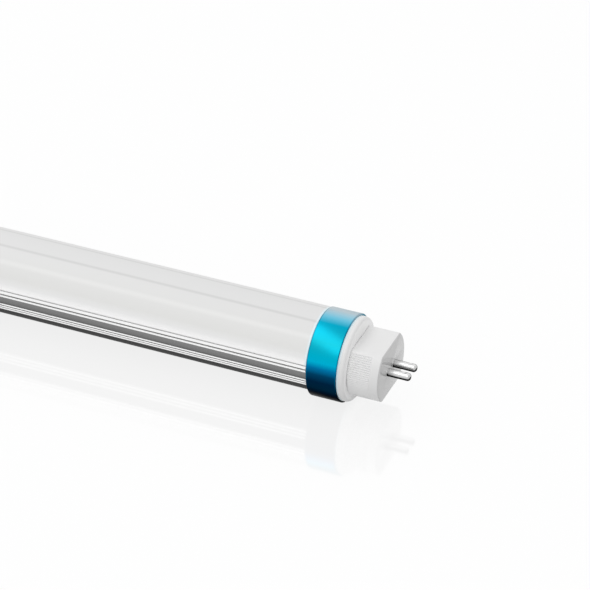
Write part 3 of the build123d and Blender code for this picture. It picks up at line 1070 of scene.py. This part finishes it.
@dataclass
class EndCaps:
    """The blue rings, the white collars and their screws, at both ends."""

    maker: Maker
    ring_wall: float = 0.5 * MM
    ring_round: float = 0.16 * MM
    ring_round_steps: int = 3
    ring_steps: int = 144
    ring_sharp_angle: float = 50.0
    corner_angle: float = 60.0
    outer_zone: float = 0.1 * MM
    collar_round: float = 0.12 * MM
    collar_edge: float = 0.5 * MM
    screw_round: float = 0.25 * MM
    screw_edge: float = 0.9 * MM
    screw_head: float = 1.7 * MM

    def rings(self) -> None:
        """Spin one ring from its section, round its outer edges and mirror it to the other end."""
        mesh = bmesh.new()
        half = 0.5
        middle = (RING_INNER + RING_OUTER) / 2
        bmesh.ops.create_grid(mesh, x_segments=1, y_segments=1, size=half)
        for vert in mesh.verts:
            along = middle + vert.co.x * (RING_OUTER - RING_INNER)
            vert.co = (along, 0.0, RING_RADIUS - self.ring_wall * (half - vert.co.y))
        bmesh.ops.delete(mesh, geom=mesh.faces[:], context="FACES_ONLY")
        bmesh.ops.spin(
            mesh, geom=mesh.verts[:] + mesh.edges[:], cent=(0, 0, 0), axis=(1, 0, 0), dvec=(0, 0, 0),
            angle=radians(360), steps=self.ring_steps, use_merge=True, use_duplicate=False,
        )
        bmesh.ops.remove_doubles(mesh, verts=mesh.verts, dist=SAME_PLACE)
        bmesh.ops.recalc_face_normals(mesh, faces=mesh.faces)
        outer_edges = [
            edge for edge in mesh.edges if edge.calc_face_angle(0) > radians(self.corner_angle)
            and edge.verts[0].co.yz.length > RING_RADIUS - self.outer_zone
        ]
        self.maker.round_off(mesh, outer_edges, self.ring_round, self.ring_round_steps)
        self.maker.smooth(mesh, self.ring_sharp_angle)
        bmesh.ops.mirror(mesh, geom=mesh.verts[:] + mesh.edges[:] + mesh.faces[:], axis="X", merge_dist=0)
        bmesh.ops.recalc_face_normals(mesh, faces=mesh.faces)
        self.maker.add("rings_turned", mesh, "blue_ring", "tube", "end_rings")

    def build(self) -> None:
        """Make the rings, the collars and the screws, whose heads alone are rounded."""
        self.rings()
        collars = self.maker.softened("collars", self.collar_round, self.collar_edge)
        self.maker.add("collars_moulded", collars, "white_cap", "tube", "collars")
        from_x = reach("collar_screws") - self.screw_head
        screws = self.maker.softened("collar_screws", self.screw_round, self.screw_edge, from_x)
        self.maker.add("screws_headed", screws, "screw_steel", "tube", "collar_screws")


class End(Enum):
    """The lamp's two ends, by the side of the middle that each one is on."""

    RIGHT = 1
    LEFT = -1


class Row(Enum):
    """The two pins of an end, by the side of the axis that each one is on."""

    FRONT = -1
    BACK = 1


@dataclass
class TurningBase:
    """One pin base with its two contact pins."""

    maker: Maker
    end: End
    pin_spacing: float = 4.75 * MM
    pin_radius: float = 1.185 * MM
    pin_steps: int = 72
    pin_sharp_angle: float = 40.0
    tip_round: float = 0.9 * MM
    tip_steps: int = 7
    tip_zone: float = 0.01 * MM
    tail_width: float = 1.4 * MM
    tail_length: float = 5.0 * MM
    tail_round: float = 0.08 * MM
    mark_centre: float = 2.1 * MM
    mark_length: float = 1.6 * MM
    mark_width: float = 0.9 * MM
    mark_depth: float = 0.16 * MM
    mark_cuts: int = 48
    nose_round: float = 0.09 * MM
    nose_rounded: float = 0.4 * MM
    nose_least_turn: float = 30.0

    @property
    def side(self) -> str:
        """The end's name, as the nodes and bodies have it."""
        return self.end.name.lower()

    def shank(self, mesh: Mesh, across: float) -> None:
        """Add the round shank with its domed tip and a soft staking mark on top.

        Args:
            mesh: The pin's shape, still empty.
            across: The pin's place across the tube.
        """
        length = PIN_TIP - BASE_FACE
        lying = Matrix.Rotation(radians(90), 4, "Y")
        bmesh.ops.create_cone(
            mesh, cap_ends=True, segments=self.pin_steps, radius1=self.pin_radius, radius2=self.pin_radius,
            depth=length, matrix=Matrix.Translation((BASE_FACE + length / 2, across, 0)) @ lying,
        )
        tip_edges = [
            edge for edge in mesh.edges if all(vert.co.x > PIN_TIP - self.tip_zone for vert in edge.verts)
        ]
        self.maker.round_off(mesh, tip_edges, self.tip_round, self.tip_steps)
        long_edges = [edge for edge in mesh.edges if edge.calc_length() > length / 2]
        bmesh.ops.subdivide_edges(mesh, edges=long_edges, cuts=self.mark_cuts, use_grid_fill=True)
        centre = Vector((PIN_TIP - self.mark_centre, across, 0))
        for vert in mesh.verts:
            off = vert.co - centre
            share = (2 * off.x / self.mark_length) ** 2 + (2 * off.y / self.mark_width) ** 2
            if off.z > 0 and share < 1:
                vert.co.z -= self.mark_depth * (1 - share) ** 0.5

    def tail(self, mesh: Mesh, across: float) -> None:
        """Add the square tail inside the base.

        Args:
            mesh: The pin's shape.
            across: The pin's place across the tube.
        """
        place = Matrix.Translation((BASE_FACE - self.tail_length / 2, across, 0))
        size = Matrix.Diagonal((self.tail_length, self.tail_width, self.tail_width, 1))
        corners = bmesh.ops.create_cube(mesh, size=1.0, matrix=place @ size)["verts"]
        edges = list({edge for vert in corners for edge in vert.link_edges})
        self.maker.round_off(mesh, edges, self.tail_round)

    def pin(self, row: Row) -> None:
        """Make one pin.

        Args:
            row: Which of the end's two pins.
        """
        mesh = bmesh.new()
        across = row.value * self.pin_spacing / 2
        self.shank(mesh, across)
        self.tail(mesh, across)
        bmesh.ops.scale(mesh, vec=(self.end.value, 1, 1), verts=mesh.verts)
        bmesh.ops.recalc_face_normals(mesh, faces=mesh.faces)
        self.maker.smooth(mesh, self.pin_sharp_angle)
        node = f"{self.side}_{row.name.lower()}_pin"
        self.maker.add(f"{node}_plated", mesh, "pin_metal", f"{self.side}_base", node)

    def build(self) -> None:
        """Make the base and its pins, and dress the strap that joins the left end's pins."""
        body, node = f"{self.side}_base", f"{self.side}_nose"
        from_x = BASE_FACE - self.nose_rounded
        nose = self.maker.softened(node, self.nose_round, from_x=from_x, least_turn=self.nose_least_turn)
        self.maker.add(f"{body}_moulded", nose, "white_base", body, node)
        for row in Row:
            self.pin(row)
        if self.end is End.LEFT:
            self.maker.dress("left_pin_link", "link_brass")


@dataclass
class Studio:
    """Floor, world, light and camera.

    Angles are in degrees, and sizes named px in pixels of the photograph.
    """

    azimuth: float = 22.793
    elevation: float = 33.738
    roll: float = 0.409
    distance: float = 865.21 * MM
    focal_px: float = 3054.35
    frame_px: float = 590.0
    sensor: float = 36.0
    nearest: float = 0.01
    farthest: float = 50.0
    aim: tuple[float, float, float] = (262.65 * MM, 0.0, 0.0)
    aim_px: tuple[float, float] = (352.47, 358.06)
    floor_size: float = 12.0
    floor_cells: int = 8
    floor_colour: Colour = even(0.96)
    floor_bounce: Colour = even(0.62)
    floor_white: Colour = even(1.0)
    floor_glow: float = 0.93
    floor_gloss: float = 0.1
    floor_roughness: float = 0.5
    floor_roughness_spread: float = 0.1
    gloss_roughness: float = 0.06
    gloss_roughness_spread: float = 0.02
    dust_scale: float = 30.0
    backdrop: Colour = even(1.0)
    sky: Colour = even(0.92)
    dim_sky: Colour = even(0.72)
    dimmest: float = 0.9
    light_place: tuple[float, float, float] = (-0.35, -0.55, 1.4)
    light_size: tuple[float, float] = (3.0, 0.9)
    light_power: float = 9.0

    def floor_material(self) -> bpy.types.Material:
        """Build the floor's white, which shows bright, bounces less and mirrors the lamp faintly.

        Returns:
            The material.
        """
        made = bpy.data.materials.new("floor_white")
        made.use_nodes = True
        graph = Graph(made.node_tree)
        dust = graph.noise((self.dust_scale,) * 3)
        seen = self.seen(graph)
        sockets = {
            "Base Color": graph.mix(seen, self.floor_bounce, self.floor_colour),
            "Roughness": self.floor_roughness + dust * self.floor_roughness_spread,
        }
        matt = graph.node("ShaderNodeBsdfPrincipled", {}, sockets)
        white = graph.node("ShaderNodeEmission", {}, {"Color": self.floor_white, "Strength": 1.0})
        roughness = self.gloss_roughness + dust * self.gloss_roughness_spread
        gloss = graph.node("ShaderNodeBsdfGlossy", {}, {"Color": self.floor_white, "Roughness": roughness})
        sockets = {0: seen * self.floor_glow, 1: matt.outputs[0], 2: white.outputs[0]}
        pale = graph.node("ShaderNodeMixShader", {}, sockets)
        sockets = {0: seen * self.floor_gloss, 1: pale.outputs[0], 2: gloss.outputs[0]}
        shader = graph.node("ShaderNodeMixShader", {}, sockets)
        graph.node("ShaderNodeOutputMaterial", {}, {"Surface": shader.outputs[0]})
        return made

    @staticmethod
    def seen(graph: Graph) -> Value:
        """Give 1 for rays from the camera and for those that gloss and glass send on.

        Args:
            graph: Nodes of the material.

        Returns:
            The share, 0 or 1.
        """
        rays = graph.node("ShaderNodeLightPath").outputs
        straight = Value(graph, rays["Is Camera Ray"])
        mirrored = Value(graph, rays["Is Glossy Ray"])
        passed = Value(graph, rays["Is Transmission Ray"])
        return (straight + mirrored + passed).over(0.0, 1.0)

    def floor(self, low: float) -> None:
        """Lay the floor under the lamp.

        Args:
            low: Height of the lamp's lowest point.
        """
        mesh = bmesh.new()
        cells = self.floor_cells
        bmesh.ops.create_grid(mesh, x_segments=cells, y_segments=cells, size=self.floor_size / 2)
        bmesh.ops.translate(mesh, vec=(0, 0, low), verts=mesh.verts)
        data = bpy.data.meshes.new("floor")
        mesh.to_mesh(data)
        mesh.free()
        data.materials.append(self.floor_material())
        floor = bpy.data.objects.new("floor", data)
        bpy.context.scene.collection.objects.link(floor)
        floor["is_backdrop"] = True

    def world(self) -> None:
        """Light the scene with a plain pale sky that is dimmer towards the right."""
        world = bpy.data.worlds.new("studio")
        bpy.context.scene.world = world
        world.use_nodes = True
        graph = Graph(world.node_tree)
        way = graph.node("ShaderNodeTexCoord").outputs["Generated"]
        right = Value(graph, graph.node("ShaderNodeSeparateXYZ", {}, {0: way}).outputs[0])
        level = graph.mix(right.over(0.0, self.dimmest), self.sky, self.dim_sky)
        camera_ray = Value(graph, graph.node("ShaderNodeLightPath").outputs["Is Camera Ray"])
        sockets = {"Color": graph.mix(camera_ray, level, self.backdrop), "Strength": 1.0}
        shader = graph.node("ShaderNodeBackground", {}, sockets)
        graph.node("ShaderNodeOutputWorld", {}, {"Surface": shader.outputs[0]})

    def light(self) -> None:
        """Hang one soft light that faces the end that the photograph shows."""
        data = bpy.data.lights.new("soft_top", "AREA")
        data.shape = "RECTANGLE"
        data.size, data.size_y = self.light_size
        data.energy = self.light_power
        light = bpy.data.objects.new("soft_top", data)
        light.location = self.light_place
        light.rotation_mode = "QUATERNION"
        light.rotation_quaternion = (Vector(self.aim) - Vector(self.light_place)).to_track_quat("-Z", "Y")
        bpy.context.scene.collection.objects.link(light)

    def camera(self) -> None:
        """Stand the camera at the photograph's viewpoint."""
        turn, rise = radians(self.azimuth), radians(self.elevation)
        right = Vector((cos(turn), sin(turn), 0))
        back = Vector((sin(turn) * cos(rise), -cos(turn) * cos(rise), sin(rise)))
        up = back.cross(right)
        middle = self.frame_px / 2
        scale = self.distance / self.focal_px
        off_right = (self.aim_px[0] - middle) * scale
        off_up = -(self.aim_px[1] - middle) * scale
        data = bpy.data.cameras.new("camera")
        data.sensor_width = self.sensor
        data.lens = self.focal_px / self.frame_px * self.sensor
        data.clip_start = self.nearest
        data.clip_end = self.farthest
        camera = bpy.data.objects.new("camera", data)
        camera.rotation_mode = "QUATERNION"
        turned = Matrix((right, up, back)).transposed() @ Matrix.Rotation(radians(self.roll), 3, "Z")
        camera.rotation_quaternion = turned.to_quaternion()
        axes = turned.transposed()
        camera.location = Vector(self.aim) + back * self.distance - axes[0] * off_right - axes[1] * off_up
        bpy.context.scene.collection.objects.link(camera)
        bpy.context.scene.camera = camera

    def build(self, low: float) -> None:
        """Set up the studio.

        Args:
            low: Height of the lamp's lowest point.
        """
        self.camera()
        self.floor(low)
        self.world()
        self.light()
        bpy.context.scene.view_settings.view_transform = "Standard"


def main() -> None:
    """Build every sub-assembly in order and measure the bounds."""
    logging.basicConfig(level=logging.INFO, format="%(message)s")
    low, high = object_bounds()
    Studio().build(low.z)
    maker = Maker(Finishes())
    TubeBody(maker).build()
    LightRow(maker).build()
    Driver(maker).build()
    EndCaps(maker).build()
    for end in End:
        TurningBase(maker, end).build()
    low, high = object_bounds()


if __name__ == "__main__":
    main()
